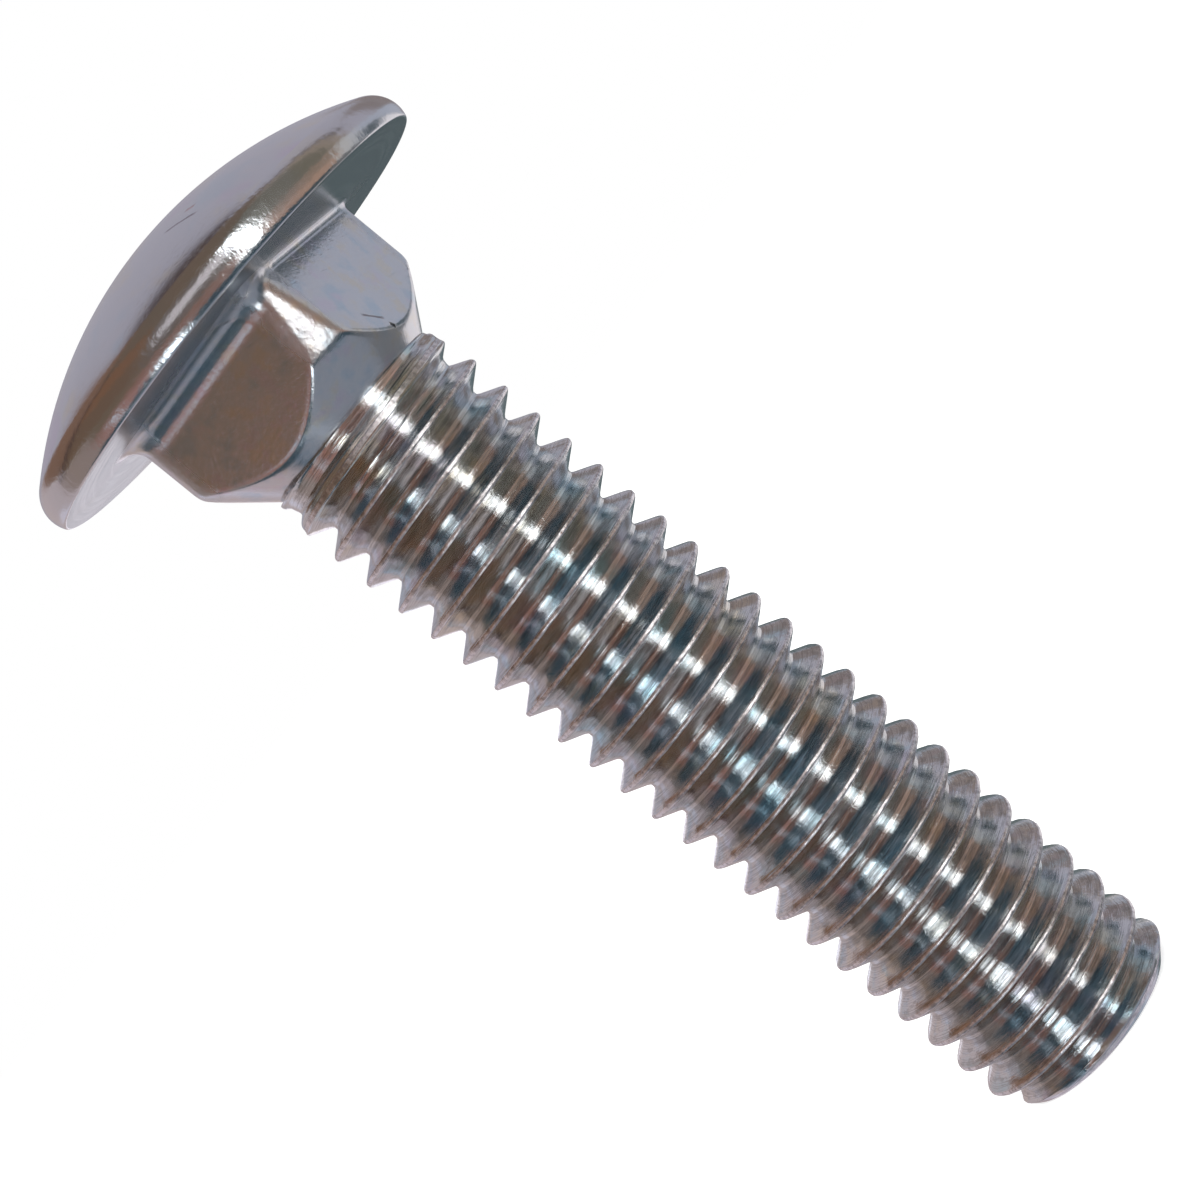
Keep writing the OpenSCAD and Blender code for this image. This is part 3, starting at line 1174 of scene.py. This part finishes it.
    def build_floor(self) -> None:
        """White floor that keeps the bolt's shadow. The metal mirrors the bench board in its place."""
        material, nodes = new_material("white_floor")
        matt = nodes.add("BsdfDiffuse", {"Color": self.floor_colour})
        glow = nodes.add("Emission", {"Strength": nodes.times(self.background_share(nodes), self.floor_glow)})
        total = nodes.add("AddShader", {0: matt.outputs["BSDF"], 1: glow.outputs["Emission"]})
        nodes.add("OutputMaterial", {"Surface": total.outputs["Shader"]})
        floor = self.place_sheet("floor", level_square(self.floor_size, 0.0), material)
        floor.visible_glossy = False

    def place_sheet(self, name: str, corners: list[Vector], material: bpy.types.Material) -> bpy.types.Object:
        """Adds a staged flat sheet with four corners."""
        mesh = bpy.data.meshes.new(name)
        mesh.from_pydata([corner[:] for corner in corners], [], [(0, 1, 2, 3)])
        mesh.materials.append(material)
        sheet = bpy.data.objects.new(name, mesh)
        bpy.context.scene.collection.objects.link(sheet)
        return sheet

    def place_board(self, name: str, corners: list[Vector], colour: Colour, strength: float) -> None:
        """Adds an evenly lit sheet that only mirror rays see, so it throws no light or shade."""
        material, nodes = new_material(name)
        material.cycles.emission_sampling = "NONE"
        glow = nodes.add("Emission", {"Color": colour, "Strength": strength})
        nodes.add("OutputMaterial", {"Surface": glow.outputs["Emission"]})
        sheet = self.place_sheet(name, corners, material)
        sheet.visible_camera = False
        sheet.visible_diffuse = False
        sheet.visible_transmission = False
        sheet.visible_shadow = False

    def card_corners(self, card: Card) -> list[Vector]:
        """Corners of a board that stands upright, facing the bolt."""
        out = self.toward(card.turn)
        side = Vector((-out.y, out.x, 0.0)) * card.width / 2
        middle = out * card.distance
        low = Vector((0.0, 0.0, card.bottom))
        high = Vector((0.0, 0.0, card.top))
        return [middle - side + low, middle + side + low, middle + side + high, middle - side + high]

    def build_lamps(self) -> None:
        """Broad lamps that light the floor softly from both sides of the camera."""
        for number, turn in enumerate(self.lamp_turns):
            data = bpy.data.lights.new(f"soft_lamp_{number}", "AREA")
            data.shape = "SQUARE"
            data.size = self.lamp_size
            data.energy = self.lamp_power
            lamp = bpy.data.objects.new(data.name, data)
            lamp.location = self.toward(turn) * self.lamp_distance + Vector((0.0, 0.0, self.lamp_z))
            lamp.rotation_euler = lamp.location.to_track_quat("Z", "Y").to_euler()
            lamp.visible_camera = False
            lamp.visible_glossy = False
            bpy.context.scene.collection.objects.link(lamp)

    def build_camera(self) -> None:
        """Sets the camera where the photograph was taken from."""
        data = bpy.data.cameras.new("photo_camera")
        data.lens = self.lens
        data.sensor_width = self.sensor
        data.clip_start, data.clip_end = self.clip
        heading = math.radians(self.heading)
        pitch = math.radians(self.pitch)
        roll = math.radians(self.roll)
        forward = Vector((
            math.cos(heading) * math.cos(pitch), math.sin(heading) * math.cos(pitch), math.sin(pitch)
        ))
        level = Vector((math.sin(heading), -math.cos(heading), 0.0))
        over = level.cross(forward)
        right = level * math.cos(roll) + over * math.sin(roll)
        up = over * math.cos(roll) - level * math.sin(roll)
        camera = bpy.data.objects.new("photo_camera", data)
        turn = Matrix((right, up, -forward)).transposed().to_4x4()
        camera.matrix_world = Matrix.Translation(Vector(self.camera_at) * MM) @ turn
        bpy.context.scene.collection.objects.link(camera)
        bpy.context.scene.camera = camera


def main() -> None:
    logging.basicConfig(level=logging.INFO, format="%(name)s: %(message)s")
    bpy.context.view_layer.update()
    bpy.context.scene.view_settings.view_transform = "Standard"
    Bolt.from_frame().build()
    Studio().build()


if __name__ == "__main__":
    main()
